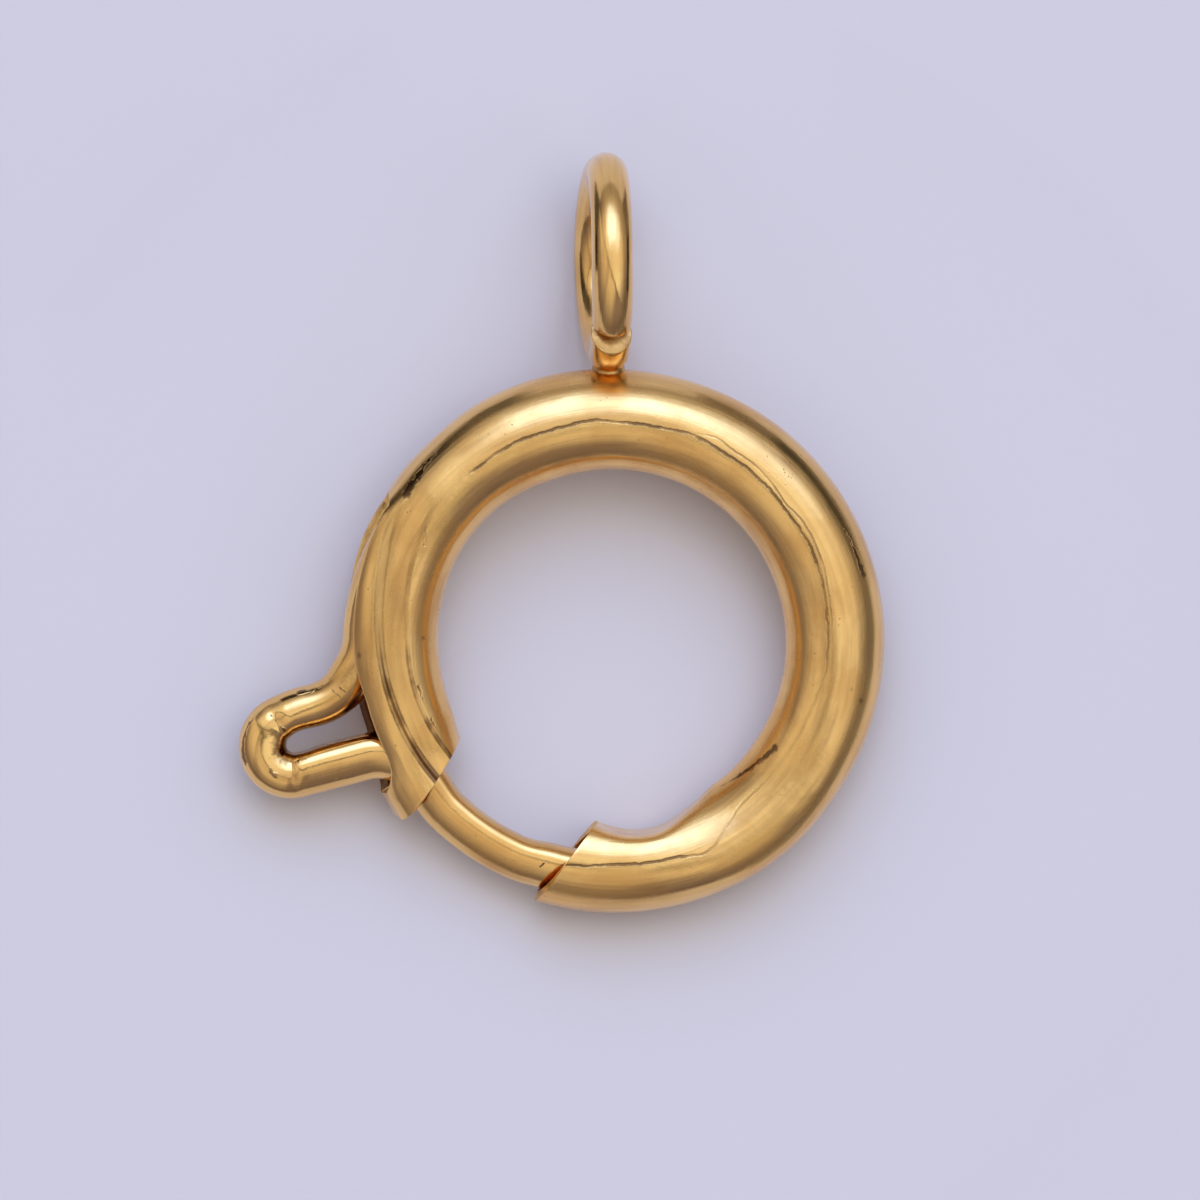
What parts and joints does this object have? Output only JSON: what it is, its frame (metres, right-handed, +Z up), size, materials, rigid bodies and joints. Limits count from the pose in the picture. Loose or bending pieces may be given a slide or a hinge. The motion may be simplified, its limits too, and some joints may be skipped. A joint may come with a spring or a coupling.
{
  "type": "spring ring clasp",
  "caption": "Hollow gold-plated ring with a gap, closed by a sprung wire bolt with a thumb loop, and an open eye soldered across its rim for a chain.",
  "frame": {"origin": "centre of the ring, in the middle of its tube's height", "axes": "+Y from the ring's centre towards the eye, +Z up from the surface that the clasp lies on; the ring's plane is tipped 5.7 degrees about X because the clasp rests on the rim opposite the eye and on the eye's underside"},
  "size_m": [0.0143, 0.0168, 0.0049],
  "materials": {
    "plated_tube": "polished yellow gold plate on brass tube, worn and lightly tarnished along its creases",
    "plated_wire": "polished yellow gold plate on bent brass wire, with fine draw marks",
    "spring_wire": "plain hard-drawn spring wire"
  },
  "bodies": {
    "case": {"ring_case": "plated_tube", "return_spring": "spring_wire"},
    "bolt": {"bolt": "plated_wire"}
  },
  "joints": [
    {"name": "bolt_draw", "type": "hinge", "parent": "case", "child": "bolt", "pos_m": [-0.00013, -0.00042, -0.00004], "axis": [0, 0.0995, -0.995], "range_deg": [0, 33], "stiffness_Nm_per_rad": 0.015, "springref_deg": -20.05, "deforming": ["return_spring"]}
  ]
}
